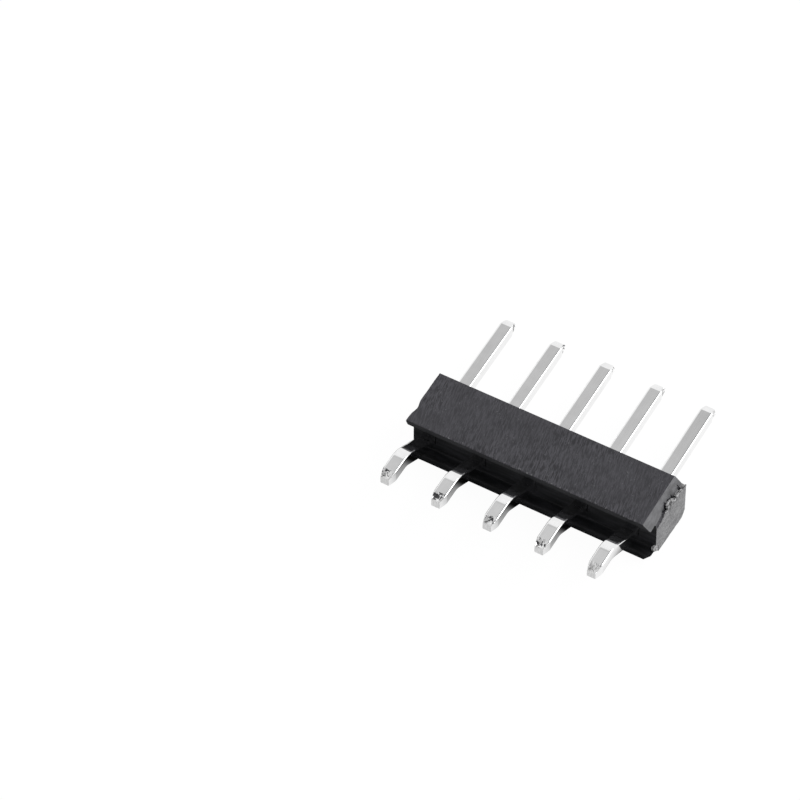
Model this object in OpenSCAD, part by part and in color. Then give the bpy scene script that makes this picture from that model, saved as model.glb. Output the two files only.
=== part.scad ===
// Pin header strip: one moulded insulator that holds a single row of square wire posts.
// X runs along the row, the straight mating posts point to +Y, the kinked solder tails to -Y, Z is up.
// The origin is on the flat face that the strip rests on, under the middle post.

/* [Row] */
// Distance between neighbouring posts
pitch = 2.54; // [2:0.01:4]

/* [Post wire] */
// Side of the square wire
post_w = 0.64; // [0.5:0.01:0.8]
// Radius of the wire's rounded edges
post_r = 0.08; // [0.03:0.01:0.15]
// Reach of the mating posts beyond the insulator, tip included
mating_reach = 4.9; // [3:0.1:9]
// Length of the coined taper on the mating tip
mating_tip_len = 0.36; // [0.15:0.01:0.6]
// Reach of the solder tails beyond the upper lip, tip included
tail_reach = 3.55; // [3.2:0.05:6]
// Length of the coined taper on the tail's tip
tail_tip_len = 0.45; // [0.15:0.01:0.6]
// Side of the blunt end that coining leaves on a tip
tip_w = 0.42; // [0.2:0.01:0.48]

/* [Kink of the tails] */
// Length of the straight ramp between the two bends
ramp_len = 1.97; // [1.2:0.01:2.1]
// Radius of the wire's centre line in both bends
bend_r = 0.98; // [0.5:0.01:1.1]
// Straight wire between the channel's back wall and the first bend
kink_lead = 0.1; // [0.02:0.01:0.2]

/* [Insulator] */
// Height of the insulator
body_h = 2.35; // [2:0.05:3.2]
// Depth of the upper face, from the mating face to the upper lip
body_d = 3.1; // [2.4:0.05:4.5]
// How much further the lower lip stands out than the upper one
lower_lip_out = 0.05; // [0:0.01:0.3]
// Distance from the first post's centre to the left end
left_margin = 0.94; // [0.6:0.01:1.2]
// Distance from the last post's centre to the broken right end
right_margin = 1.25; // [1:0.01:1.27]
// Radius of the moulded long edges
edge_r = 0.05; // [0.02:0.01:0.1]
// Clearance round the wire in its passage
post_gap = 0.01; // [0:0.01:0.05]

/* [Channel on the tail side] */
// Depth of the channel behind the upper lip
channel_d = 0.45; // [0.2:0.01:0.8]
// Thickness of the upper lip
upper_lip_t = 0.27; // [0.15:0.01:0.45]
// Thickness of the lower lip at its front
lower_lip_t = 0.42; // [0.25:0.01:0.6]
// Slope of the channel's floor, falling to the front
floor_slope = 6; // [0:1:15]

/* [Broken right end] */
// Width of the slope of the notch in the upper face
notch_w = 0.36; // [0.2:0.01:0.4]
// Width of that notch's floor, from the slope to the torn end
notch_floor_w = 0.23; // [0.15:0.01:0.25]
// Depth of the notch in the upper face
notch_d = 0.31; // [0.2:0.01:0.6]
// Width of the slope where the lower lip's corner is broken off
lower_notch_w = 0.28; // [0.1:0.01:0.4]
// Height of that broken corner
lower_notch_d = 0.4; // [0.2:0.01:0.6]
// How far in from the lower lip's front the corner is broken off
lower_notch_run = 0.85; // [0.2:0.01:1.2]
// Depth of the corner that is broken off at the foot of the mating face
foot_corner_d = 0.22; // [0.05:0.01:0.4]
// Height of that broken corner
foot_corner_h = 0.3; // [0.05:0.01:0.5]
// How far in from the torn end that corner is broken off
foot_corner_run = 0.25; // [0.05:0.01:0.4]
// How much less far the torn end reaches at its front than at its back
tear_skew = 0.1; // [0:0.01:0.12]
// Number of teeth along each torn edge
tear_teeth = 11; // [4:1:16]
// Height of the torn teeth
tear_h = 0.09; // [0.03:0.01:0.2]

/* [Hidden] */
NODES = ["insulator", "pin_1", "pin_2", "pin_3", "pin_4", "pin_5"];
$fn = 48;

// One node is the insulator, and each of the others is one pin
positions = len(NODES) - 1;
mating_y = body_d / 2;
lip_y = -body_d / 2;
wall_y = lip_y + channel_d;
post_z = body_h / 2;
row_half = (positions - 1) * pitch / 2;
left_x = -row_half - left_margin;
right_x = row_half + right_margin;
arc_step = 30;
// Level step that stays below the broken corner of the lower lip
lower_floor_w = 0.03;

// Points of a quarter turn about a centre, from angle a0 on
function quarter(cx, cz, r, a0) = [for (a = [a0 : arc_step : a0 + 90]) [cx + r * cos(a), cz + r * sin(a)]];

// Steady but irregular number between 0 and 1 for tooth i
function uneven(i) = abs(sin(i * 137.5 + 40)) * 0.7 + abs(sin(i * 71.3)) * 0.3;

function post_x(i) = -row_half + i * pitch;

// Outline of the insulator seen from the right end: first number is Y, second is Z
module body_section() {
    floor_front = lower_lip_t;
    floor_back = lower_lip_t + (channel_d + lower_lip_out) * tan(floor_slope);
    polygon(concat(
        quarter(mating_y - edge_r, edge_r, edge_r, -90),
        quarter(mating_y - edge_r, body_h - edge_r, edge_r, 0),
        quarter(lip_y + edge_r, body_h - edge_r, edge_r, 90),
        [[lip_y, body_h - upper_lip_t], [wall_y, body_h - upper_lip_t], [wall_y, floor_back]],
        [[lip_y - lower_lip_out, floor_front]],
        quarter(lip_y - lower_lip_out + edge_r, edge_r, edge_r, 180)
    ));
}

// Lays a drawing of (Y, Z) points out along X from x0 to x1
module along_x(x0, x1) {
    translate([x0, 0, 0]) rotate([90, 0, 90]) linear_extrude(x1 - x0) children();
}

// Square wire section with rounded edges, grown by gap on every side
module wire_section(gap = 0) {
    flat = post_w - 2 * post_r;
    full = post_w + 2 * gap;
    square([full, flat], center = true);
    square([flat, full], center = true);
    for (sx = [-1, 1], sz = [-1, 1])
        translate([sx * flat / 2, sz * flat / 2]) circle(r = post_r + gap);
}

// Straight wire from y0 to y1 at height z
module wire(y0, y1, z = 0, gap = 0) {
    translate([0, y1, z]) rotate([90, 0, 0]) linear_extrude(y1 - y0) wire_section(gap);
}

// Side outline of a straight stretch that starts at 0 and whose far end is coined to the blunt tip
module coined_outline(far, tip_len) {
    s = sign(far);
    half = post_w / 2;
    polygon([[0, -half], [far - s * tip_len, -half], [far, -tip_w / 2],
        [far, tip_w / 2], [far - s * tip_len, half], [0, half]]);
}

// Straight wire from y = 0 to y = far with four coined facets at far
module coined_wire(far, tip_len) {
    intersection() {
        wire(min(0, far), max(0, far));
        translate([-post_w / 2, 0, 0]) rotate([90, 0, 90]) linear_extrude(post_w) coined_outline(far, tip_len);
        translate([0, 0, -post_w / 2]) linear_extrude(post_w) mirror([1, -1, 0]) coined_outline(far, tip_len);
    }
}

// The kink's angle is twice the sharp angle of the 7, 24, 25 triangle, about 32.5 degrees.
// Its sine and cosine are short decimal numbers, so the stretches of wire meet exactly.
kink_angle = 2 * asin(7 / 25);
kink_sin = 2 * 7 * 24 / 625;
kink_cos = (24 * 24 - 7 * 7) / 625;
kink_y0 = wall_y - kink_lead;
flat_y = kink_y0 - 2 * bend_r * kink_sin - ramp_len * kink_cos;
tail_y = lip_y - tail_reach;
mating_end_y = mating_y + mating_reach;

// Stretch of wire bent about an axis along X, at a distance bend_r from the wire
module bend(from) {
    rotate([0, 90, 0]) rotate([0, 0, from]) rotate_extrude(angle = kink_angle, $fn = 96)
        translate([bend_r, 0]) rotate(90) wire_section();
}

// Moves on from the start of a bend to its end: across by the sine, up by the rest of the cosine
module past_bend() {
    translate([0, -bend_r * kink_sin, bend_r * (1 - kink_cos)]) children();
}

// One wire, drawn from the channel's wall on: the straight part, then bend, ramp, bend and flat tail
module post() {
    translate([0, kink_y0, post_z]) {
        coined_wire(mating_end_y - kink_y0, mating_tip_len);
        translate([0, 0, bend_r]) bend(-kink_angle);
        past_bend() rotate([-kink_angle, 0, 0]) {
            wire(-ramp_len, 0);
            translate([0, -ramp_len, 0]) rotate([kink_angle, 0, 0]) past_bend() {
                translate([0, 0, -bend_r]) bend(180 - kink_angle);
                coined_wire(tail_y - flat_y, tail_tip_len);
            }
        }
    }
}

// Side outline of a notch at the right end that is sunk into the face z = 0: a slope, then a floor
module notch_outline(slope_w, floor_w, depth) {
    out = 1;
    floor_x = right_x - floor_w;
    polygon([[floor_x - slope_w, 0], [floor_x, -depth], [right_x + out, -depth],
        [right_x + out, out], [floor_x - slope_w, out]]);
}

// The notch in the upper face, the lower lip's broken corner and the broken foot of the mating face
module end_notches() {
    out = 1;
    front_y = lip_y - lower_lip_out;
    span = mating_y - front_y + 2 * out;
    translate([0, mating_y + out, body_h]) rotate([90, 0, 0]) linear_extrude(span)
        notch_outline(notch_w, notch_floor_w, notch_d);
    translate([0, front_y + lower_notch_run, 0]) rotate([90, 0, 0]) linear_extrude(lower_notch_run + out)
        mirror([0, 1]) notch_outline(lower_notch_w, tear_skew + lower_floor_w, lower_notch_d);
    along_x(right_x - foot_corner_run, right_x + out)
        polygon([[mating_y - foot_corner_d, 0], [mating_y, foot_corner_h], [mating_y + out, foot_corner_h],
            [mating_y + out, -out], [mating_y - foot_corner_d, -out]]);
}

// Takes the torn end back to a plane that reaches right_x at the mating side only
module torn_plane() {
    out = 1;
    front_y = lip_y - lower_lip_out;
    translate([0, 0, -out]) linear_extrude(body_h + 2 * out)
        polygon([[right_x - tear_skew, front_y - out], [right_x - tear_skew, front_y], [right_x, mating_y],
            [right_x, mating_y + out], [right_x + out, mating_y + out], [right_x + out, front_y - out]]);
}

// Row of torn teeth that stand on the broken end, below the notch in the upper face
module torn_teeth() {
    step = (mating_y - edge_r - wall_y) / tear_teeth;
    for (i = [0 : tear_teeth - 1]) {
        h = tear_h * (0.35 + uneven(i));
        x = right_x - tear_h - tear_skew * (1 - (i + 1) / tear_teeth);
        translate([x, wall_y + i * step, body_h - notch_d - h * 0.8])
            rotate([90, 0, 90]) linear_extrude(tear_h + h * 0.6)
                polygon([[0, -h], [step * 0.9, -h * 0.4], [step * (0.3 + uneven(i + 5) * 0.5), h]]);
    }
}

module insulator() color([0.16, 0.155, 0.175]) {
    difference() {
        union() {
            difference() {
                along_x(left_x, right_x) body_section();
                end_notches();
                torn_plane();
            }
            torn_teeth();
        }
        for (i = [0 : positions - 1])
            translate([post_x(i), 0, 0]) wire(wall_y - 1, mating_y + 1, post_z, post_gap);
    }
}

module pin(i) color([0.8, 0.8, 0.81]) {
    translate([post_x(i), 0, 0]) post();
}

insulator();
pin(0);  // pin_1
pin(1);  // pin_2
pin(2);  // pin_3
pin(3);  // pin_4
pin(4);  // pin_5
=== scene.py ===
"""Looks of the pin header strip: a black moulded insulator and five square tinned posts with kinked tails.

All lengths below are in millimetres and are turned into metres when a mesh is made.
The shapes repeat the sizes that the CAD model was made from.
"""

import math

import bpy
import numpy as np
from mathutils import Matrix, Vector


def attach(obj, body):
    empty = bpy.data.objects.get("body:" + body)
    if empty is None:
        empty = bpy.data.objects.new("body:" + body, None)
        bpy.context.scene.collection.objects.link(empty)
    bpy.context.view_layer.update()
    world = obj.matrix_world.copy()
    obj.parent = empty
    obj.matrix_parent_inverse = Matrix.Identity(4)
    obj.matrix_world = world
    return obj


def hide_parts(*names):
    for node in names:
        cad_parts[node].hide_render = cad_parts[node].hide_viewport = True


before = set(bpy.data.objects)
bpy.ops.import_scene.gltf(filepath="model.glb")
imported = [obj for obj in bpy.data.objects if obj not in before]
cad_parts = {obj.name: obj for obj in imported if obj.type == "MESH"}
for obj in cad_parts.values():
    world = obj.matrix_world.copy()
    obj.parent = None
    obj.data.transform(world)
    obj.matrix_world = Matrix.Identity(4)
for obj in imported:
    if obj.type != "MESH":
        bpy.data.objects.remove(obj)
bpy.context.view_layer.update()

MM = 0.001
# Faces that meet at a wider angle than this keep a sharp edge
SHARP = math.radians(38)

# The row
PINS = [name for name in sorted(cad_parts) if name.startswith("pin_")]
PITCH = 2.54
PIN_X = PITCH * (np.arange(len(PINS)) - (len(PINS) - 1) / 2)

# The insulator
HEIGHT = 2.35
BODY_DEPTH = 3.1
MATING_Y = BODY_DEPTH / 2
LIP_Y = -BODY_DEPTH / 2
LOWER_LIP_OUT = 0.05
FRONT_Y = LIP_Y - LOWER_LIP_OUT
CHANNEL = 0.45
WALL_Y = LIP_Y + CHANNEL
UPPER_LIP = 0.27
LIP_Z = HEIGHT - UPPER_LIP
FLOOR_SLOPE = math.radians(6)
FLOOR_FRONT = 0.42
FLOOR_BACK = FLOOR_FRONT + (CHANNEL + LOWER_LIP_OUT) * math.tan(FLOOR_SLOPE)
EDGE_R = 0.05
LEFT_X = PIN_X[0] - 0.94
RIGHT_X = PIN_X[-1] + 1.25

# The broken right end: the notch in the upper face, then the torn face and its broken corners
NOTCH_FLOOR = 0.23
NOTCH_SLOPE = 0.36
NOTCH_DEPTH = 0.31
NOTCH_Z = HEIGHT - NOTCH_DEPTH
NOTCH_FOOT = RIGHT_X - NOTCH_FLOOR
TEAR_SKEW = 0.1
CORNER_RUN = 0.76
CORNER_FOOT = RIGHT_X - TEAR_SKEW - 0.03
CORNER_SLOPE = 0.28
CORNER_HEIGHT = 0.4
FOOT_DEPTH = 0.22
FOOT_HEIGHT = 0.3
FOOT_RUN = 0.25
# In front of this depth the torn edge dips, by this much at the channel's wall
DIP_START = -0.1
FRONT_DIP = 0.19
PIT_DEPTH = 0.26
# Shares of the way across the notch's floor at which a pit is deepest, and at which it ends
PIT_MIDDLE = 0.35
PIT_END = 0.95
# How far the torn face is bowed in, and eaten away between its crumbs, at its upper edge
BOW = 0.1
EATEN = 0.13
# How far the torn face lies inside the right end, leans out towards its foot, and is rippled
FACE_INSET = 0.01
FACE_LEAN = 0.06
RIPPLE = 0.008
# The torn edge's rear spike: where along the edge it is, and how far it is lifted and stands out
SPIKE_Y = 1.4
SPIKE_LIFT = 0.07
SPIKE_OUT = 0.05
# How much further out the notch lies at its front
FRONT_OUT = 0.1
FRONT_OUT_RUN = 1.2
# The left end: the bite in its upper edge, and how far it is set back below the upper lip and at its corner
BITE = 0.09
BITE_Y = -0.68
BITE_FOOT = 1.2
SETBACK = 0.14
LIP_SETBACK = 0.09
# The row of crumbs: how many there are, where it starts and how far it reaches, and the mesh of each
CRUMBS = 26
CRUMBS_FROM = -0.25
CRUMBS_REACH = 1.75
CRUMB_SIDES = 12
CRUMB_ROWS = 9
# Single crumbs: how far in from the right end, depth, height and radius
LUMPS = ((0.1, -1.1, 0.62, 0.07), (0.115, -1.13, 0.51, 0.12), (0.07, -1.08, 0.4, 0.09),
         (0.02, 1.49, 2.1, 0.038), (0.04, 1.42, 2.1, 0.045), (0.1, 1.47, 2.07, 0.04))

# The insulator's mesh: steps across an end, across the notch's floor, from an end to the nearest passage's
# window, and from one window to the next
ACROSS = 120
STRIP = 9
END_STEPS = 8
BETWEEN_STEPS = 11
# Half the side of the square patch that holds a passage's mouth, and the steps across it
WINDOW = 0.42
WINDOW_STEPS = 12
# Rows of a passage's mouth: share of the way from the patch's rim to the hole, and how far inside the face
MOUTH = ((0, 0), (0.45, 0), (0.8, 0), (0.93, 0.004), (1, 0.02))
# Depths below the upper face of the rows on the upper lip's front
LIP_ROWS = np.array([0.08, 0.11, 0.14, 0.17, 0.2, 0.225, UPPER_LIP - 0.025])
# Difference in height that keeps neighbouring rows of the notch's floor from being welded
HAIR = 0.0005
# Depths below the notch's floor of the rows between it and the passages
TORN_ROWS = np.array([0.01, 0.02, 0.035, 0.055, 0.08, 0.11, 0.15, 0.2, 0.26, 0.32, 0.38])

# The wire
POST_Z = HEIGHT / 2
WIRE = 0.64
WIRE_R = 0.08
GAP = 0.01
KINK_ANGLE = 2 * math.asin(7 / 25)
KINK_START = WALL_Y - 0.1
BEND_R = 0.98
RAMP = 1.97
MATING_END = MATING_Y + 4.9
TAIL_END = LIP_Y - 3.55
MATING_TIP = 0.36
TAIL_TIP = 0.45
TIP = 0.42
# Share by which a taper is fuller than a straight one at its middle
FULLER = 0.06
# Share of its edge radius that the wire keeps at a tip, and of its width that the dents there take at most
TIP_EDGE = 0.45
DENT = 0.024
# How far the burr stands out on one side of a mating tip, how long it is and how far its rim stands forward
BURR = 0.08
BURR_LENGTH = 0.16
BURR_RIM = 0.04
# The hollow that is pressed into a tail's upper facet: its depth, its distance from the tip, its length,
# half its width and its shift to the left, and the depth and distance of the small one behind it
HOLLOW = 0.052
HOLLOW_AT = 0.17
HOLLOW_LENGTH = 0.12
HOLLOW_HALF = 0.2
HOLLOW_SHIFT = 0.04
HOLLOW_BEHIND = 0.02
HOLLOW_BEHIND_AT = 0.3

# The wire's mesh: places of its rows on the tapers as shares of the taper, the distances from the tips at
# which even rows take over, and the gap between the end of a bend and the next row
MATING_ROWS = np.array([0, 0.12, 0.3, 0.5, 0.7, 0.85, 0.95, 1, 1.06, 1.2])
TAIL_ROWS = np.array([1.05, 1, 0.95, 0.88, 0.8, 0.7, 0.6, 0.5, 0.4, 0.3, 0.2, 0.1, 0.04, 0])
MATING_EVEN = 0.6
TAIL_EVEN = 0.54
CLOSE = 0.01
# Rows on a burr, points along the post, a bend, the ramp and the flat tail, and steps round a corner
BURR_ROWS = 4
POST_POINTS = 30
BEND_POINTS = 14
RAMP_POINTS = 9
TAIL_POINTS = 7
ARC_STEPS = 6
FLAT_SHARES = (0.03, *np.linspace(0.1, 0.9, 9), 0.97)
# How nearly a face points up or down, or to the burred side, where it counts as coined
FACING_UP = 0.7
FACING_BURR = 0.5
# Rings that close a tip: share of the rim's size, and how far the ring is sunk
END_RINGS = ((0.93, 0), (0.8, 0.008), (0.5, 0.014), (0.2, 0.012), (0, 0.012))

# Numbers of the finishes on the insulator and on a post
MOULDED, PAINTED_SHADE, TORN, SLOPE, CRUMB = range(5)
PLATED, COINED, CUT = range(3)
# Angle between the moulded streaks and the posts
STREAK_TURN = math.radians(-12)

# Light by direction: share of white in front, and on the ceiling
FRONT_LIGHT = 0.5
CEILING_LIGHT = 0.585
FLOOR_SIZE = 2000
FLOOR_Z = -0.002

# The photograph's view: where the camera stands in metres, its own three directions, and its lens
CAMERA_PLACE = (0.04206, -0.08697, 0.12656)
CAMERA_RIGHT = (0.87015, 0.49280, 0)
CAMERA_UP = (-0.38513, 0.68004, 0.62388)
CAMERA_BACK = (0.30745, -0.54287, 0.78152)
FOCAL_LENGTH = 160.85
SENSOR = 36


def weave(points):
    """Joins neighbours of one grid of points (rows, columns, 3) into four-sided faces, as indices."""
    rows, cols = points.shape[:2]
    at = np.arange(rows * cols).reshape(rows, cols)
    return np.stack([at[:-1, :-1], at[1:, :-1], at[1:, 1:], at[:-1, 1:]], -1).reshape(-1, 4)


def surface(name, grids, finishes):
    """Makes one closed mesh from grids of points.

    Each grid comes with its finish numbers, whether it is turned over, and its kept faces or None.
    Equal points are welded, and faces that this folds flat are dropped.
    """
    points, faces, kinds, start = [], [], [], 0
    for grid, kind, flip, kept in grids:
        quads = weave(grid)
        kind = np.broadcast_to(kind, (grid.shape[0] - 1, grid.shape[1] - 1)).reshape(-1)
        if kept is not None:
            quads, kind = quads[kept.reshape(-1)], kind[kept.reshape(-1)]
        points.append(grid.reshape(-1, 3))
        faces.append((quads[:, ::-1] if flip else quads) + start)
        kinds.append(kind)
        start += len(points[-1])
    points, kinds = np.concatenate(points), np.concatenate(kinds)
    _, first, same = np.unique(np.round(points, 5), axis=0, return_index=True, return_inverse=True)
    corners = [list(dict.fromkeys(face)) for face in same.reshape(-1)[np.concatenate(faces)].tolist()]
    keep = [i for i, face in enumerate(corners) if len(face) > 2]
    mesh = bpy.data.meshes.new(name)
    mesh.from_pydata((points[first] * MM).tolist(), [], [corners[i] for i in keep])
    mesh.polygons.foreach_set("material_index", kinds[keep].astype(np.int32))
    mesh.polygons.foreach_set("use_smooth", np.ones(len(keep), bool))
    for finish in finishes:
        mesh.materials.append(finish)
    mesh.update()
    mesh.set_sharp_from_angle(angle=SHARP)
    piece = bpy.data.objects.new(name, mesh)
    bpy.context.scene.collection.objects.link(piece)
    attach(piece, "root")
    return piece


def rough(a, b, seed, octaves=5, first=1.0):
    """Uneven values from about -1 to 1: crossed sine waves, each octave twice as fine and half as high."""
    total, reach = 0.0, 0.0
    for k in range(octaves):
        f = first * 2 ** k
        turn = seed * 1.7 + k * 2.3
        c, s = math.cos(turn), math.sin(turn)
        u, v = a * c - b * s, a * s + b * c
        wave = np.sin(f * u + 5 * math.sin(seed + k) + 1.3 * np.sin(f * 0.7 * v + k))
        wave = wave * np.cos(f * 0.83 * v + seed * k + 1.1 * np.sin(f * 0.9 * u))
        total = total + wave * 0.5 ** k
        reach += 0.5 ** k
    return total / reach


def bell(a, middle, width):
    """1 at the middle, falling to both sides as the exponential of minus the squared distance in widths."""
    return np.exp(-((a - middle) / width) ** 2)


def rise(a, zero, one):
    """A straight line from 0 to 1 between two places, held beyond them."""
    return np.clip((a - zero) / (one - zero), 0, 1)


def rounded_square():
    """A rounded square as four weights a point: the signs of its corner and a direction on the corner's arc.

    Each corner is a quarter turn in even steps, and each flat is the line between two corners. A flat has
    points close to its ends, so that it is shaded flat.
    """
    corners = ((1, 1), (-1, 1), (-1, -1), (1, -1))
    weights = []
    for quarter, signs in enumerate(corners):
        following = corners[(quarter + 1) % len(corners)]
        for step in range(ARC_STEPS + 1):
            turn = math.pi / 2 * (quarter + step / ARC_STEPS)
            weights.append((*signs, math.cos(turn), math.sin(turn)))
        # The points of a flat keep the direction that ends the arc before it
        for share in FLAT_SHARES:
            place = [a + (b - a) * share for a, b in zip(signs, following)]
            weights.append((*place, math.cos(turn), math.sin(turn)))
    return np.array(weights + weights[:1])


def wire_line():
    """Centre line of one wire from the mating tip to the tail's tip, as arrays of y, z and heading.

    It runs straight, through an arc by the kink's angle, up the ramp, through an arc back, and straight.
    """
    c, s = math.cos(KINK_ANGLE), math.sin(KINK_ANGLE)
    y1, z1 = KINK_START - BEND_R * s, POST_Z + BEND_R * (1 - c)
    y2, z2 = y1 - RAMP * c, z1 + RAMP * s
    y3, z3 = y2 - BEND_R * s, z2 + BEND_R * (1 - c)
    bend = np.linspace(0, KINK_ANGLE, BEND_POINTS)
    back = bend[::-1]
    up = np.linspace(CLOSE, RAMP - CLOSE, RAMP_POINTS)
    stretches = [
        (MATING_END - MATING_TIP * MATING_ROWS, POST_Z, 0),
        (np.linspace(MATING_END - MATING_EVEN, KINK_START + CLOSE, POST_POINTS), POST_Z, 0),
        (KINK_START - BEND_R * np.sin(bend), POST_Z + BEND_R * (1 - np.cos(bend)), bend),
        (y1 - up * c, z1 + up * s, KINK_ANGLE),
        (y2 - BEND_R * (s - np.sin(back)), z2 + BEND_R * (np.cos(back) - c), back),
        (np.linspace(y3 - CLOSE, TAIL_END + TAIL_EVEN, TAIL_POINTS), z3, 0),
        (TAIL_END + TAIL_TIP * TAIL_ROWS, z3, 0),
    ]
    joined = [np.broadcast_arrays(*stretch) for stretch in stretches]
    return [np.concatenate(part) for part in zip(*joined)]


def coined(distance, length, seed):
    """Half width at a distance from a tip: full past the taper, and on it a slope plus half a sine wave."""
    t = np.clip(distance / length, 0, 1)
    slope = t + FULLER * np.sin(math.pi * t) * (1 + 0.4 * math.sin(seed))
    return TIP / 2 + (WIRE - TIP) / 2 * np.clip(slope, 0, 1)


def burr(from_tip, across, up, seed):
    """How far a mating tip is squeezed out: by the square of the way to one side, rippled in height."""
    size = BURR * rise(from_tip, BURR_LENGTH, 0) * (1 + 0.4 * math.sin(seed * 2 + 1))
    return size * rise(across, 0, TIP / 2) ** 2 * (0.6 + 0.4 * np.sin(up * 30 + seed))


def hollow(from_tip, across, seed):
    """How deep a tail's upper facet is pressed in.

    It is a bell along the wire times a parabola across it, and behind that a small bell both ways.
    """
    off = across + HOLLOW_SHIFT + 0.06 * math.sin(seed * 3)
    main = bell(from_tip, HOLLOW_AT + 0.03 * math.sin(seed * 2), HOLLOW_LENGTH)
    main = main * np.clip(1 - (off / HOLLOW_HALF) ** 2, 0, 1)
    behind = bell(from_tip, HOLLOW_BEHIND_AT, 0.05) * bell(off, 0.08 * math.sin(seed * 7), 0.07)
    return (HOLLOW + 0.012 * math.sin(seed * 5)) * main + HOLLOW_BEHIND * behind


def blunt_end(rim, x, seed, outward):
    """Rings that close a tip, each a smaller copy of its rim, sunk a little and uneven.

    The mating tip's are sunk further, by the square of the distance from its burred side.
    """
    middle = rim[:-1].mean(0)
    rings = []
    for share, sunk in END_RINGS:
        ring = middle + (rim - middle) * share
        uneven = 0.006 * np.abs(rough(ring[:, 0] * 10, ring[:, 2] * 10, seed, 3)) * (share > 0)
        forward = BURR_RIM * (1 - rise(ring[:, 0], x, x + TIP / 2) ** 2) * (outward > 0)
        ring[:, 1] -= outward * (sunk + uneven + forward)
        rings.append(ring)
    return np.stack(rings)


def post(name, x, seed, finishes):
    """A rounded square carried along the wire's line, dented at its tips and drawn in to two blunt ends."""
    y, z, turn = [part[:, None] for part in wire_line()]
    section = rounded_square()
    from_mating, from_tail = MATING_END - y, y - TAIL_END
    half_x = np.minimum(coined(from_mating, MATING_TIP, seed), coined(from_tail, TAIL_TIP, seed + 1))
    half_z = np.minimum(coined(from_mating, MATING_TIP, seed + 2), coined(from_tail, TAIL_TIP, seed + 3))
    inward = np.clip(np.minimum(from_mating / MATING_TIP, from_tail / TAIL_TIP), 0, 1)
    radius = WIRE_R * (TIP_EDGE + (1 - TIP_EDGE) * inward)
    across = section[:, 0] * (half_x - radius) + radius * section[:, 2]
    up = section[:, 1] * (half_z - radius) + radius * section[:, 3]
    dents = np.abs(rough(across * 9 + seed, up * 9 + y * 12, seed, 4, 1.6))
    kept = 1 - DENT * (1 - inward) * dents
    across = across * kept
    up = up * kept
    up = up - hollow(from_tail, across, seed) * rise(section[:, 3], 0.9, 1)
    across = across + burr(from_mating, across, up, seed)
    tube = np.stack([x + across, y + up * np.sin(turn), z + up * np.cos(turn)], -1)
    facing = (section[:-1] + section[1:]) / 2
    pressed = np.abs(facing[:, 3]) > FACING_UP
    burred = facing[:, 2] > FACING_BURR
    kind = np.full((len(tube) - 1, len(section) - 1), PLATED)
    kind[2 - len(TAIL_ROWS):, pressed] = COINED
    kind[:BURR_ROWS, burred] = COINED
    kind = np.pad(kind, ((len(END_RINGS), len(END_RINGS)), (0, 0)), constant_values=CUT)
    mating_end, tail_end = blunt_end(tube[0], x, seed, 1), blunt_end(tube[-1], x, seed, -1)
    tube = np.concatenate([mating_end[::-1], tube, tail_end])
    return surface(name, [(tube, kind, True, None)], finishes)


def side_rows():
    """Rows of the insulator from top to bottom: height, how far forward the tail side reaches, and a share.

    The outline is a rounded edge, the upper lip, the channel with its sloping floor, the lower lip and
    another rounded edge. The share says where the row lies on the right end: from -1 to 0 down the notch's
    slope, from 0 to 1 across its floor, and 1 on the torn face. Also returns the number of the passages'
    first row.
    """
    arc = np.radians(np.linspace(0, 90, 6))
    notch = [(HEIGHT - EDGE_R * (1 - math.cos(a)), LIP_Y + EDGE_R * (1 - math.sin(a))) for a in arc]
    notch += [(z, LIP_Y) for z in HEIGHT - LIP_ROWS]
    notch += [(LIP_Z + 0.008, LIP_Y + 0.008), (LIP_Z, LIP_Y + 0.025)]
    notch += [(LIP_Z - 0.001, WALL_Y - 0.05), (LIP_Z - 0.01, WALL_Y - 0.015), (LIP_Z - 0.025, WALL_Y)]
    rows = [(z, y, (NOTCH_Z - z) / NOTCH_DEPTH) for z, y in notch]
    rows += [(NOTCH_Z - HAIR * k, WALL_Y, k / STRIP) for k in range(STRIP + 1)]
    low = [(z, WALL_Y) for z in NOTCH_Z - TORN_ROWS]
    window_row = len(rows) + len(low)
    low += [(z, WALL_Y) for z in np.linspace(POST_Z + WINDOW, POST_Z - WINDOW, WINDOW_STEPS + 1)]
    low += [(z, WALL_Y) for z in np.linspace(POST_Z - WINDOW - 0.05, FLOOR_BACK + 0.05, 5)]
    low += [(FLOOR_BACK + 0.015, WALL_Y - 0.015)]
    for t in np.linspace(0.1, 0.93, 6):
        low.append((FLOOR_BACK + (FLOOR_FRONT - FLOOR_BACK) * t, WALL_Y + (FRONT_Y - WALL_Y) * t))
    low += [(FLOOR_FRONT - 0.008, FRONT_Y + 0.01), (FLOOR_FRONT - 0.03, FRONT_Y)]
    low += [(z, FRONT_Y) for z in np.linspace(0.35, 0.08, 7)]
    low += [(EDGE_R * (1 - math.sin(a)), FRONT_Y + EDGE_R * (1 - math.cos(a))) for a in arc]
    return np.array(rows + [(z, y, 1) for z, y in low]), window_row


def fading(height, reach):
    """1 down to the height of the notch's floor, and below it an exponential that falls with its reach."""
    return np.exp(-np.clip(NOTCH_Z - height, 0, None) / reach)


def back_of(z):
    """How far the mating side reaches at a height: flat, with a rounded edge above and below."""
    near = np.minimum(z, HEIGHT - z)
    into = np.clip(EDGE_R - near, 0, EDGE_R)
    return MATING_Y - EDGE_R + np.sqrt(np.maximum(EDGE_R ** 2 - into ** 2, 0))


def end_grid(rows):
    """Depth and height of each point of an end, and a share that is 1 but falls to 0 at the long sides."""
    z, front = rows[:, :1], rows[:, 1:2]
    u = np.linspace(0, 1, ACROSS + 1)
    depth = front + (back_of(z) - front) * u
    height = np.repeat(z, ACROSS + 1, 1)
    inner = rise(np.minimum(u, 1 - u), 0, 0.03)
    return depth, height, inner


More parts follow.
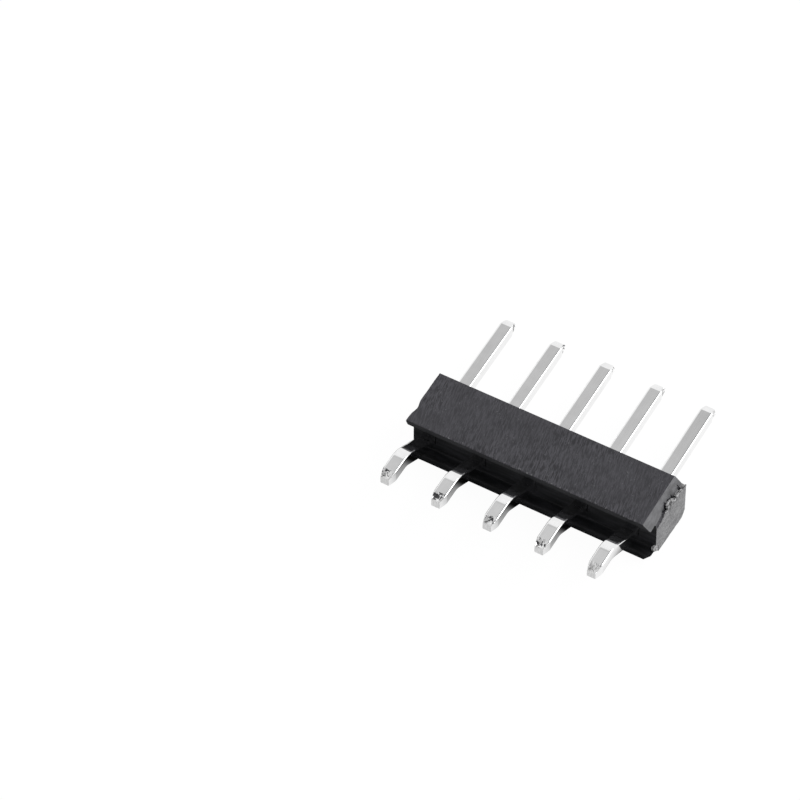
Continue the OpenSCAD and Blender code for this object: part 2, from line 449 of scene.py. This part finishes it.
def torn_face(depth, height, inner, wild):
    """How far out the torn face reaches: a plane slanted by the skew that leans out towards its foot.

    At its upper edge it is bowed in by a bell and eaten away by uneven waves. Both fade below the edge as
    exponentials. A finer ripple lies over the whole face.
    """
    skew = TEAR_SKEW * (MATING_Y - depth) / BODY_DEPTH
    plane = RIGHT_X - FACE_INSET - skew + FACE_LEAN * rise(height, NOTCH_Z, 0)
    bowed = BOW * bell(depth, 0.15, 0.55) * np.clip(1 + wild, 0.3, 1.6) * fading(height, 0.2)
    eaten = np.clip(rough(depth * 14, height * 9, 9, 4, 1.6), -0.4, 1) * bell(depth, 0.4, 0.95)
    ripple = RIPPLE * (rough(depth * 4, height * 6, 3, 5, 1.6) - 1)
    return plane + ripple - inner * (bowed + EATEN * eaten * fading(height, 0.12))


def floor_pits(depth, out, wild, dipped):
    """How deep the notch's floor is sunk: a bell near its middle and uneven waves behind it.

    Across the floor a pit is deepest at a third of the way, and it ends before the torn edge. The deeper
    it is, the further it reaches up the slope.
    """
    waves = np.clip(rough(depth * 9, 0, 6, 3, 1.4) * 2 - 0.3, 0, 1)
    pits = bell(depth, 0.2, 0.5) * np.clip(1.1 + 1.5 * wild, 0.25, 1)
    pits = (pits + waves * np.clip((depth - 0.4) * 3, 0, 1) * (depth < 1.3)) * (1 - dipped)
    wide = 0.12 + 0.42 * np.clip(pits, 0, 1)
    across = np.where(out < PIT_MIDDLE, rise(out, -wide, PIT_MIDDLE), rise(out, PIT_END, PIT_MIDDLE))
    return PIT_DEPTH * pits * np.clip(across * 1.7, 0, 1) ** 1.5


def edge_burr(depth, out, height, wild):
    """How far the torn edge is lifted: bells, uneven waves and spikes along it, fading to both sides."""
    spiky = np.clip(rough(depth * 17, out * 2, 4, 4, 1.5), -0.3, 1)
    lift = 0.04 + 0.06 * np.clip(wild + 0.3, 0, 1) + 0.1 * bell(depth, 0.15, 0.4)
    lift = lift + 0.12 * spiky * (0.25 + bell(depth, 0.5, 0.9)) + SPIKE_LIFT * bell(depth, SPIKE_Y, 0.12)
    return lift * np.where(out < 1, rise(out, 0.55, 1), fading(height, 0.05))


def broken_corners(x, depth, height, wild):
    """Takes the lower front corner and the foot of the mating side off an end, each to its own slope."""
    corner = CORNER_FOOT - CORNER_SLOPE * rise(height, CORNER_HEIGHT, 0)
    edge = FRONT_Y + CORNER_RUN + 0.06 * wild
    share = rise(height, CORNER_HEIGHT + 0.03, CORNER_HEIGHT) * np.clip((edge - depth) / 0.08, 0, 1)
    x = x - np.clip(x - corner, 0, None) * share
    beyond = (depth - MATING_Y + FOOT_DEPTH) / FOOT_DEPTH + (FOOT_HEIGHT - height) / FOOT_HEIGHT - 1
    return x - FOOT_RUN * np.clip(3 * beyond, 0, 1)


def broken_end(rows):
    """The right end: the notch's slope, its floor with ragged pits, a burred edge, and the torn face.

    Towards the front the torn edge dips, and the notch's foot stands further out. Also returns how deep each
    point is sunk.
    """
    depth, height, inner = end_grid(rows)
    out = np.repeat(rows[:, 2:], ACROSS + 1, 1)
    wild = rough(depth * 6, 1, 2, 5, 1.5)
    dip = FRONT_DIP * rise(depth, DIP_START, WALL_Y)
    dipped = np.clip((height - NOTCH_Z + dip) / 0.015, 0, 1) * rise(dip, 0, 0.02) * (out >= 0)
    torn = torn_face(depth, height, inner, wild)
    torn = torn - (torn - NOTCH_FOOT - 0.01) * dipped
    sunk = floor_pits(depth, out, wild, dipped) * inner
    lifted = edge_burr(depth, out, height, wild) * inner * (1 - dipped)
    spike = SPIKE_OUT * bell(depth, SPIKE_Y, 0.1) * fading(height, 0.06) * (out > 0.6) * inner
    near_foot = np.clip(np.where(out < 0, 1 + out, dipped), 0, 1)
    forward = FRONT_OUT * rise(depth, DIP_START, DIP_START - FRONT_OUT_RUN) * near_foot
    x = NOTCH_FOOT + np.where(out < 0, NOTCH_SLOPE * out, (torn - NOTCH_FOOT) * np.clip(out, 0, 1))
    x = x + forward + spike - 0.1 * sunk * (out < 0)
    x = broken_corners(x, depth, height, wild)
    return np.stack([x, depth, height - sunk + lifted], -1), np.maximum(sunk, dipped * 0.2)


def plain_end(rows):
    """The left end: broken off almost straight, with a bell-shaped bite near the front of its upper edge.

    Below the upper lip it is set back.
    """
    depth, height, inner = end_grid(rows)
    bite = BITE * bell(depth, BITE_Y, 0.3) * rise(height, BITE_FOOT, HEIGHT - EDGE_R)
    setback = SETBACK * rise(height, LIP_Z + 0.01, LIP_Z - 0.02)
    lip_corner = LIP_SETBACK * rise(height, HEIGHT - 0.07, HEIGHT - 0.25) * (depth < LIP_Y + 0.25)
    uneven = 0.01 * (1 + rough(depth * 4, height * 5, 4, 5, 1.3)) * (0.3 + 0.7 * inner)
    x = LEFT_X + 0.002 + bite + np.maximum(setback, lip_corner) + uneven
    return np.stack([x, depth, height], -1)


def crumb(centre, radius, seed):
    """A torn crumb of plastic: a small ball, longer in depth, whose distance from its centre is uneven."""
    around = np.append(np.linspace(0, 2 * math.pi, CRUMB_SIDES, endpoint=False), 0)
    turn, tilt = np.meshgrid(around, np.linspace(0, math.pi, CRUMB_ROWS))
    ball = np.stack([np.sin(tilt) * np.cos(turn), 1.3 * np.sin(tilt) * np.sin(turn), np.cos(tilt)], -1)
    uneven = rough(ball[..., 0] * 2 + seed, ball[..., 1] * 2 + 3 * ball[..., 2], seed, 3, 1.7)
    return np.array(centre) + radius * ball * (1 + 0.45 * uneven)[..., None]


def crumbs():
    """Crumbs along the torn upper edge, larger where it is burred, and a few by themselves."""
    grids = []
    for i in range(CRUMBS):
        share = (i + 0.5 * math.sin(i * 2.4)) / CRUMBS
        y = CRUMBS_FROM + CRUMBS_REACH * share ** 0.9
        crowd = float(bell(y, 0.3, 0.3))
        x = RIGHT_X - 0.12 + 0.045 * share - 0.13 * crowd * abs(math.sin(i * 2.9))
        z = NOTCH_Z + 0.025 * math.sin(i * 5.1) + 0.05 * crowd
        size = 0.032 + 0.024 * abs(math.sin(i * 1.7)) + 0.035 * crowd + 0.01 * share
        grids.append(crumb((x, y, z), size, i))
    for inset, y, z, size in LUMPS:
        grids.append(crumb((RIGHT_X - inset, y, z), size, inset * 50))
    return grids


def stations():
    """Places along the row: even steps through each passage's window, and wider steps between the windows.

    Also returns the number of each window's first place.
    """
    places, starts = [], []
    for number, x in enumerate(PIN_X):
        if number:
            places += [*np.linspace(PIN_X[number - 1] + WINDOW, x - WINDOW, BETWEEN_STEPS + 1)[1:-1]]
        starts.append(len(places))
        places += [*np.linspace(x - WINDOW, x + WINDOW, WINDOW_STEPS + 1)]
    return np.array(places), starts


def rim(end):
    """The border of an end's grid, once round from its first point."""
    return np.concatenate([end[:, 0], end[-1, 1:], end[-2::-1, -1], end[0, -2::-1]])


def insulator(finishes):
    """The insulator's outline carried along the row between its two ends, with a passage for each wire.

    Between an end and the nearest window the places are even shares of the way.
    """
    rows, window_row = side_rows()
    (right, sunk), left = broken_end(rows), plain_end(rows)
    xs, starts = stations()
    ring, far_left = rim(right), rim(left)
    share = np.linspace(0, 1, END_STEPS + 1)[1:, None]
    to_left = xs[0] + (far_left[:, 0] - xs[0]) * share[::-1]
    to_right = xs[-1] + (ring[:, 0] - xs[-1]) * share
    x = np.concatenate([to_left, np.repeat(xs[:, None], len(ring), 1), to_right])
    shell = np.stack([x, np.broadcast_to(ring[:, 1], x.shape), np.broadcast_to(ring[:, 2], x.shape)], -1)

    # Faces that the passages take the place of are left out of the shell
    kept = np.ones((shell.shape[0] - 1, shell.shape[1] - 1), bool)
    last = len(rows) - 1
    back_row = last + ACROSS + last - window_row - WINDOW_STEPS
    for start in starts:
        for row in (window_row, back_row):
            kept[start + END_STEPS:start + END_STEPS + WINDOW_STEPS, row:row + WINDOW_STEPS] = False

    # Faces in the channel and on the lips' fronts take the darker black of painted shade
    recess = (ring[:-1, 1] < WALL_Y + 0.01) & (ring[:-1, 2] < HEIGHT - 0.02) & (ring[:-1, 2] > 0.001)
    deepest = np.maximum(np.maximum(sunk[:-1, :-1], sunk[1:, :-1]), np.maximum(sunk[:-1, 1:], sunk[1:, 1:]))
    on_slope = np.repeat(rows[:-1, 2:] < -0.001, ACROSS, 1)
    end_kind = np.where(deepest > 0.05, MOULDED, np.where(on_slope, SLOPE, TORN))
    grids = [(shell, np.where(recess, PAINTED_SHADE, MOULDED), False, kept)]
    grids += [(right, end_kind, True, None), (left, TORN, False, None)]
    heights = rows[window_row:window_row + WINDOW_STEPS + 1, 0]
    for x0 in PIN_X:
        grid = passage(x0, heights)
        # Inside a passage the darker black stands for painted shade
        inside = (grid[:-1, :1, 1] + grid[1:, :1, 1]) / 2 < MATING_Y - 0.01
        grids.append((grid, np.where(inside, PAINTED_SHADE, MOULDED), False, None))
    grids += [(grid, CRUMB, True, None) for grid in crumbs()]
    return surface("moulded_insulator", grids, finishes)


def passage(x0, heights):
    """One passage: a patch round its mouth on the channel's wall, the tube, and a patch on the mating side.

    Each point of the patch's square rim has a partner on the hole: the rim scaled down, and pulled onto the
    corner's arc where it lies beyond the flats. The rows between are shares of the way.
    """
    t = np.linspace(-WINDOW, WINDOW, WINDOW_STEPS + 1)
    zs = heights[::-1] - POST_Z
    low, high = np.full(WINDOW_STEPS, -WINDOW), np.full(WINDOW_STEPS, WINDOW)
    a = np.concatenate([t[:-1], high, t[:0:-1], low, low[:1]])
    b = np.concatenate([low, zs[:-1], high, zs[::-1]])
    hole, radius = WIRE / 2 + GAP, WIRE_R + GAP
    flat = hole - radius
    hole_a, hole_b = a * hole / WINDOW, b * hole / WINDOW
    flat_a, flat_b = np.clip(hole_a, -flat, flat), np.clip(hole_b, -flat, flat)
    past_a, past_b = hole_a - flat_a, hole_b - flat_b
    tiny = 1e-9
    corner = (np.abs(past_a) > tiny) & (np.abs(past_b) > tiny)
    scale = np.where(corner, radius / np.maximum(np.hypot(past_a, past_b), tiny), 1)
    hole_a, hole_b = flat_a + past_a * scale, flat_b + past_b * scale
    rows = [(share, WALL_Y + inside) for share, inside in MOUTH]
    rows += [(1, y) for y in np.linspace(WALL_Y + 0.3, MATING_Y - 0.3, 6)]
    rows += [(share, MATING_Y - inside) for share, inside in MOUTH[::-1]]
    return np.stack([np.stack([x0 + a + (hole_a - a) * share, np.full_like(a, y),
                               POST_Z + b + (hole_b - b) * share], -1) for share, y in rows])


class Value:
    """A socket that can be used in arithmetic: each operator adds one Math node."""

    def __init__(self, finish, socket):
        self.finish, self.socket = finish, socket

    def _math(self, operation, first, second):
        return self.finish.node("ShaderNodeMath", {"operation": operation}, {0: first, 1: second})

    def __add__(self, other):
        return self._math("ADD", self, other)

    def __radd__(self, other):
        return self._math("ADD", other, self)

    def __sub__(self, other):
        return self._math("SUBTRACT", self, other)

    def __rsub__(self, other):
        return self._math("SUBTRACT", other, self)

    def __mul__(self, other):
        return self._math("MULTIPLY", self, other)

    def __rmul__(self, other):
        return self._math("MULTIPLY", other, self)

    def above(self, low, high):
        """0 below low, 1 above high, and smooth between."""
        settings = {"interpolation_type": "SMOOTHSTEP"}
        values = {"Value": self, "From Min": low, "From Max": high}
        return self.finish.node("ShaderNodeMapRange", settings, values)


class Finish:
    """One material, or the world, and the nodes in it."""

    def __init__(self, name, kind=bpy.data.materials):
        self.owner = kind.new(name)
        self.owner.use_nodes = True
        self.tree = self.owner.node_tree
        self.tree.nodes.clear()

    def node(self, kind, settings=None, values=None, out=0):
        """Adds a node, sets its settings, then gives each of its sockets a value or a link."""
        made = self.tree.nodes.new(kind)
        for key, value in (settings or {}).items():
            setattr(made, key, value)
        for key, value in (values or {}).items():
            if isinstance(value, Value):
                self.tree.links.new(value.socket, made.inputs[key])
            else:
                made.inputs[key].default_value = value
        return Value(self, made.outputs[out]) if made.outputs else None

    def place(self, stretch=(1, 1, 1), shift=(0, 0, 0), turn=0):
        """Object coordinates in millimetres, turned about the upright axis, stretched and shifted."""
        where = self.node("ShaderNodeTexCoord", out="Object")
        if turn:
            where = self.node("ShaderNodeMapping", {}, {"Vector": where, "Rotation": (0, 0, turn)})
        scale = [value / MM for value in stretch]
        return self.node("ShaderNodeMapping", {}, {"Vector": where, "Scale": scale, "Location": shift})

    def along(self, axis, vector=None):
        """How far a vector reaches along an axis: the place in millimetres, or another vector."""
        return self.node("ShaderNodeSeparateXYZ", {}, {0: vector or self.place()}, out=axis)

    def grain(self, place, scale, detail=3, roughness=0.55, distortion=0):
        """Noise at a place."""
        values = {"Vector": place, "Scale": scale, "Detail": detail, "Roughness": roughness,
                  "Distortion": distortion}
        return self.node("ShaderNodeTexNoise", {}, values)

    def blend(self, share, first, second):
        """One colour turning into another by share."""
        values = {"Factor": share, 6: first, 7: second}
        return self.node("ShaderNodeMix", {"data_type": "RGBA"}, values, out=2)

    def bump(self, height, distance):
        """A normal tilted by the slope of a height, whose full range is a distance in metres."""
        return self.node("ShaderNodeBump", {}, {"Height": height, "Distance": distance, "Strength": 1.0})

    def done(self, colour, roughness, relief, more=None):
        """Adds the surface shader with its values, and returns the material."""
        values = {"Base Color": colour, "Roughness": roughness, "Normal": relief, **(more or {})}
        shader = self.node("ShaderNodeBsdfPrincipled", {}, values)
        self.node("ShaderNodeOutputMaterial", {"target": "ALL"}, {"Surface": shader})
        return self.owner


def moulded_black():
    """Satin black plastic: fine streaks near the posts' direction, faint mottling and sparse pale specks.

    The specks are more frequent along the front edge.
    """
    f = Finish("moulded_black")
    streaks = f.grain(f.place((8, 1, 8), turn=STREAK_TURN), 1.6, 3, 0.65)
    fine = f.grain(f.place((14, 2, 14), (3, 1, 0), STREAK_TURN), 1.4, 3, 0.65)
    calm = f.grain(f.place(shift=(8, 3, 0)), 0.4, 2)
    mottle = f.grain(f.place(), 1.1, 3)
    front = 1 - f.along("Y").above(LIP_Y + 0.03, LIP_Y + 0.16)
    specks = f.grain(f.place((1, 0.6, 1), (7, 2, 5)), 13, 2, 0.6)
    specks = specks.above(0.66, 0.74) + 1.4 * front * specks.above(0.56, 0.66)
    shade = (streaks * 0.5 + fine * 0.5).above(0.42, 0.58) - 0.5
    shade = 0.5 + shade * (0.45 + 0.5 * calm.above(0.4, 0.6)) + 0.2 * (mottle.above(0.35, 0.65) - 0.5)
    colour = f.blend(shade, (0.011, 0.0105, 0.015, 1), (0.063, 0.061, 0.072, 1))
    colour = f.blend(specks * 0.5, colour, (0.15, 0.15, 0.16, 1))
    relief = f.bump(streaks * 0.6 + fine * 0.4 + specks * 0.35, 0.00001)
    return f.done(colour, 0.46 + 0.16 * mottle, relief)


def shaded_channel_black():
    """The same plastic in the channel and on the lips, smoother and with faint bands, painted nearly black
    as painted shade.

    The upper lip is a little paler than the channel behind it: painted light falling on it from above.
    """
    f = Finish("shaded_channel_black")
    bands = f.grain(f.place((0.7, 4, 5)), 1.2, 3, 0.5)
    specks = f.grain(f.place(shift=(2, 2, 5)), 12, 2, 0.6).above(0.68, 0.78)
    # Painted light: the upper lip's front is made paler, as if lit from above
    lit_upper_lip = f.along("Z").above(LIP_Z - 0.05, LIP_Z + 0.12)
    # Painted shade: the channel and the lips' fronts get a darker copy of the moulded black
    colour = f.blend(bands.above(0.35, 0.7), (0.0065, 0.007, 0.0078, 1), (0.0185, 0.0185, 0.0215, 1))
    colour = f.blend(lit_upper_lip * 0.5, colour, (0.036, 0.036, 0.04, 1))
    colour = f.blend(specks * 0.2, colour, (0.1, 0.1, 0.11, 1))
    relief = f.bump(bands + specks * 0.4, 0.000005)
    return f.done(colour, 0.5 + 0.15 * bands, relief, {"Specular IOR Level": 0.16})


def slope_black():
    """The notch's slope: moulded, but matt and greyer from being bent, with one dark smudge."""
    f = Finish("slope_black")
    drag = f.grain(f.place((7, 1.4, 7)), 1.4, 3, 0.6)
    haze = f.grain(f.place(shift=(3, 3, 1)), 1.8, 3)
    y = f.along("Y")
    smudge = y.above(0.4, 0.65) * (1 - y.above(0.75, 1.0)) * f.along("X").above(5.76, 5.9)
    shade = (drag * 0.5 + haze * 0.5).above(0.38, 0.62)
    colour = f.blend(shade, (0.1, 0.1, 0.106, 1), (0.165, 0.165, 0.174, 1))
    colour = f.blend(smudge * 0.6, colour, (0.04, 0.04, 0.042, 1))
    return f.done(colour, 0.5 + 0.1 * haze, f.bump(drag, 0.000008))


def torn_black():
    """Broken plastic: greyer and rougher, torn along the depth, with pale burrs along its upper edge."""
    f = Finish("torn_black")
    tear = f.grain(f.place((5, 1.2, 4)), 1.4, 5, 0.65, 0.4)
    fibre = f.grain(f.place((7, 5, 7), (1, 4, 2)), 1.4, 4, 0.7)
    pale = f.grain(f.place(shift=(5, 1, 8)), 10, 3, 0.7).above(0.6, 0.7)
    edge = f.along("Z").above(NOTCH_Z - 0.12, NOTCH_Z - 0.02)
    shade = (tear * 0.5 + fibre * 0.5).above(0.4, 0.6)
    colour = f.blend(shade, (0.155, 0.155, 0.159, 1), (0.295, 0.295, 0.3, 1))
    colour = f.blend(pale * (0.12 + 0.7 * edge), colour, (0.5, 0.5, 0.5, 1))
    relief = f.bump(tear + fibre * 0.5, 0.00004)
    return f.done(colour, 0.55 + 0.2 * tear, relief)


def crumb_grey():
    """Crumbs of torn plastic: dry and pale, darker in their folds."""
    f = Finish("crumb_grey")
    fold = f.grain(f.place(), 9, 3, 0.7)
    colour = f.blend(fold.above(0.38, 0.56), (0.075, 0.075, 0.077, 1), (0.56, 0.56, 0.565, 1))
    return f.done(colour, 0.6 + 0.2 * fold, f.bump(fold, 0.00003))


def bright_tin():
    """Tin plate on drawn wire: bright and smooth, with faint lengthwise draw lines and a few scuffs."""
    f = Finish("bright_tin")
    drawn = f.grain(f.place((18, 0.6, 18)), 1.4, 3, 0.6)
    cloud = f.grain(f.place(), 1.6, 3, 0.6)
    scuff = f.grain(f.place((4, 1.5, 4), (4, 0, 3)), 4.0, 4, 0.75).above(0.64, 0.76)
    shade = (drawn * 0.5 + cloud * 0.5).above(0.35, 0.65)
    colour = f.blend(shade, (0.82, 0.82, 0.822, 1), (0.89, 0.89, 0.892, 1))
    colour = f.blend(scuff * 0.3, colour, (0.62, 0.62, 0.63, 1))
    relief = f.bump(drawn * 0.25 + cloud * 0.8 + scuff * 0.2, 0.0000008)
    return f.done(colour, 0.04 + 0.03 * cloud + 0.03 * scuff, relief, {"Metallic": 1.0})


def coined_tin():
    """Tin on the coined tips: hammered by the cutting tool, with painted dark reflections that stop short of
    the tip.

    The painted reflections are fainter on the tails at the right.
    """
    f = Finish("coined_tin")
    dents = f.grain(f.place((1, 1, 1), (2, 6, 1)), 3.6, 2, 0.6, 0.8)
    reflection_noise = f.grain(f.place((1.5, 0.9, 1.5), (4, 3, 0)), 3.8, 2, 0.6, 1.4)
    # Painted reflection: dark patches stand for dark surroundings mirrored in the hammered facets
    dark_reflection = reflection_noise.above(0.5, 0.56) * f.along("Y").above(TAIL_END + 0.07, TAIL_END + 0.17)
    dark_reflection = dark_reflection * (1 - 0.6 * f.along("X").above(2.7, 4.5))
    colour = f.blend(dark_reflection, (0.96, 0.96, 0.96, 1), (0.1, 0.1, 0.105, 1))
    return f.done(colour, 0.04 + 0.16 * dents, f.bump(dents, 0.00004), {"Metallic": 1.0})


def cut_tin():
    """Blunt end of a tip, where the wire was cut: duller than the plated sides, with fine shear lines."""
    f = Finish("cut_tin")
    shear = f.grain(f.place((12, 2, 2)), 1.6, 3, 0.6)
    colour = f.blend(shear.above(0.35, 0.65), (0.6, 0.6, 0.6, 1), (0.74, 0.74, 0.74, 1))
    return f.done(colour, 0.38 + 0.1 * shear, f.bump(shear, 0.000004), {"Metallic": 0.85})


def floor():
    """A wide pale sheet just under the part, white to the camera and in the tin.

    Before and under the part the tin sees it dark, in two steps of depth, which shades the tails' sides.
    """
    mesh = bpy.data.meshes.new("floor")
    corners = FLOOR_SIZE * np.array([(-1, -1), (1, -1), (1, 1), (-1, 1)])
    mesh.from_pydata([(x * MM, y * MM, FLOOR_Z * MM) for x, y in corners.tolist()], [], [(0, 1, 2, 3)])
    sheet = bpy.data.objects.new("floor", mesh)
    bpy.context.scene.collection.objects.link(sheet)
    f = Finish("pale_floor")
    seen = f.node("ShaderNodeLightPath", out="Is Camera Ray")
    mirrored = f.node("ShaderNodeLightPath", out="Is Glossy Ray")
    y = f.along("Y")
    shaded = 0.3 * y.above(-2.3, -1.75) + 0.7 * y.above(-4.6, -2.0)
    shaded = shaded * (1 - y.above(1.2, 1.8)) * (1 - f.along("X").above(5.7, 6.3))
    paper = f.node("ShaderNodeBsdfDiffuse", {}, {"Color": (0.9, 0.9, 0.9, 1)})
    dark = f.node("ShaderNodeBsdfDiffuse", {}, {"Color": (0.01, 0.01, 0.01, 1)})
    glow = f.node("ShaderNodeEmission", {}, {"Color": (1, 1, 1, 1), "Strength": 1.03})
    mixed = f.node("ShaderNodeMixShader", {}, {0: seen * 0.93 + mirrored * 0.9, 1: paper, 2: glow})
    mixed = f.node("ShaderNodeMixShader", {}, {0: mirrored * shaded, 1: mixed, 2: dark})
    f.node("ShaderNodeOutputMaterial", {"target": "ALL"}, {"Surface": mixed})
    mesh.materials.append(f.owner)


def soft_box(name, towards, distance, size, watts):
    """A square lamp that faces the part from a direction. Distance and size are in metres."""
    lamp = bpy.data.lights.new(name, "AREA")
    lamp.shape = "SQUARE"
    lamp.size = size
    lamp.energy = watts
    holder = bpy.data.objects.new(name, lamp)
    bpy.context.scene.collection.objects.link(holder)
    direction = np.array(towards) / np.linalg.norm(towards)
    holder.location = direction * distance
    holder.rotation_euler = Vector(direction).to_track_quat("Z", "Y").to_euler()


def studio():
    """The room's light by direction: white round the back, softer in front, a grey ceiling with a dark gap.

    The gap is fainter straight overhead. The camera itself sees plain white.
    """
    f = Finish("studio", bpy.data.worlds)
    towards = f.node("ShaderNodeTexCoord", out="Generated")
    x, y, z = [f.along(axis, towards) for axis in "XYZ"]
    walls = FRONT_LIGHT + (1 - FRONT_LIGHT) * y.above(-0.5, 0.3)
    overhead = z.above(0.68, 0.77)
    ceiling = CEILING_LIGHT + 0.1 * z.above(0.775, 0.81)
    gap = x.above(-0.24, -0.18) * (1 - x.above(0.35, 0.5)) * z.above(0.62, 0.7)
    gap = gap * (0.35 + 0.65 * y.above(0.3, 0.45))
    level = (walls * (1 - overhead) + ceiling * overhead) * (1 - gap)
    seen = f.node("ShaderNodeLightPath", out="Is Camera Ray")
    light = f.node("ShaderNodeBackground", {}, {"Color": level * (1 - seen) + seen})
    f.node("ShaderNodeOutputWorld", {}, {"Surface": light})
    bpy.context.scene.world = f.owner


def camera():
    """The photograph's view, fitted from the posts' spacing."""
    lens = bpy.data.cameras.new("camera")
    lens.sensor_width = SENSOR
    lens.lens = FOCAL_LENGTH
    lens.clip_start = 0.005
    lens.clip_end = 20
    holder = bpy.data.objects.new("camera", lens)
    bpy.context.scene.collection.objects.link(holder)
    turn = Matrix((CAMERA_RIGHT, CAMERA_UP, CAMERA_BACK)).transposed().to_4x4()
    holder.matrix_world = Matrix.Translation(CAMERA_PLACE) @ turn
    bpy.context.scene.camera = holder


body = insulator([moulded_black(), shaded_channel_black(), torn_black(), slope_black(), crumb_grey()])
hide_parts("insulator")

tin = [bright_tin(), coined_tin(), cut_tin()]
for number, (node, x) in enumerate(zip(PINS, PIN_X)):
    wire = post(f"tinned_post_{number + 1}", x, number * 3.1, tin)
    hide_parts(node)

floor()
studio()
soft_box("key", towards=(0.524, 0.543, 0.66), distance=0.35, size=0.27, watts=0.58)
camera()
bpy.context.scene.view_settings.view_transform = "Standard"
